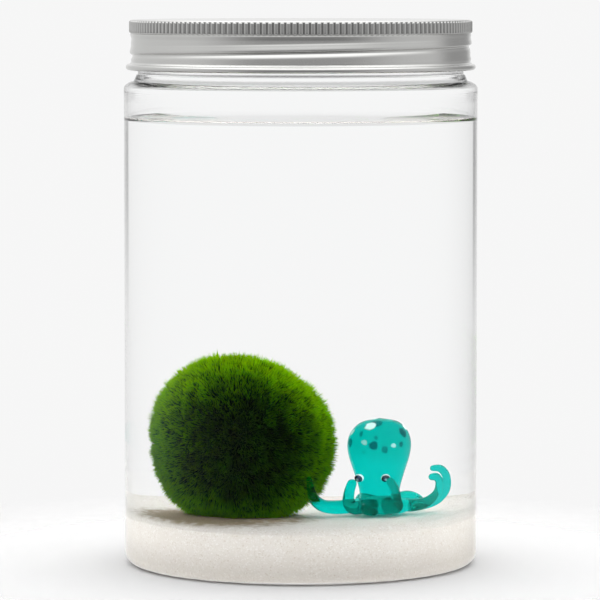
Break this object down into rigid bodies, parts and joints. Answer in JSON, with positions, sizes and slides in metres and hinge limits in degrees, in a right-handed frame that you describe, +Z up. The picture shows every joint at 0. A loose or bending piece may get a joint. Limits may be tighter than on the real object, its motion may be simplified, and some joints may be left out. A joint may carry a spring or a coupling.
{
  "type": "marimo moss ball in a jar",
  "caption": "Green moss ball with a turquoise glass octopus on white sand, under water in a clear jar with a ribbed aluminium screw lid.",
  "frame": {"origin": "on the jar's axis, in the plane of the foot ring that the jar stands on", "axes": "+Z up along the jar's axis; -Y to the front, where the moss ball is on the left (-X) and the octopus on the right (+X)"},
  "size_m": [0.085, 0.085, 0.1309],
  "materials": {
    "clear_plastic": "gloss",
    "aluminium": "satin",
    "foam": "matte",
    "water": "gloss",
    "sand": "matte",
    "moss": "matte",
    "turquoise_glass": "gloss",
    "dark_glass": "gloss"
  },
  "bodies": {
    "root": {"jar": "clear_plastic", "water": "water", "sand": "sand", "marimo": "moss", "octopus": "turquoise_glass", "octopus_eye_left": "dark_glass", "octopus_eye_right": "dark_glass"},
    "seal": {"lid_liner": "foam"},
    "lid": {"lid": "aluminium"}
  },
  "joints": [
    {"name": "lid_rise", "type": "slide", "parent": "root", "child": "seal", "axis": [0, 0, 1], "range_m": [0, 0.0047]},
    {"name": "lid_turn", "type": "hinge", "parent": "seal", "child": "lid", "pos_m": [0, 0, 0.1309], "axis": [0, 0, 1], "range_deg": [0, 360]}
  ],
  "couplings": [
    {"joint": "lid_rise", "follows": "lid_turn", "m_per_rad": 0.00073211}
  ]
}
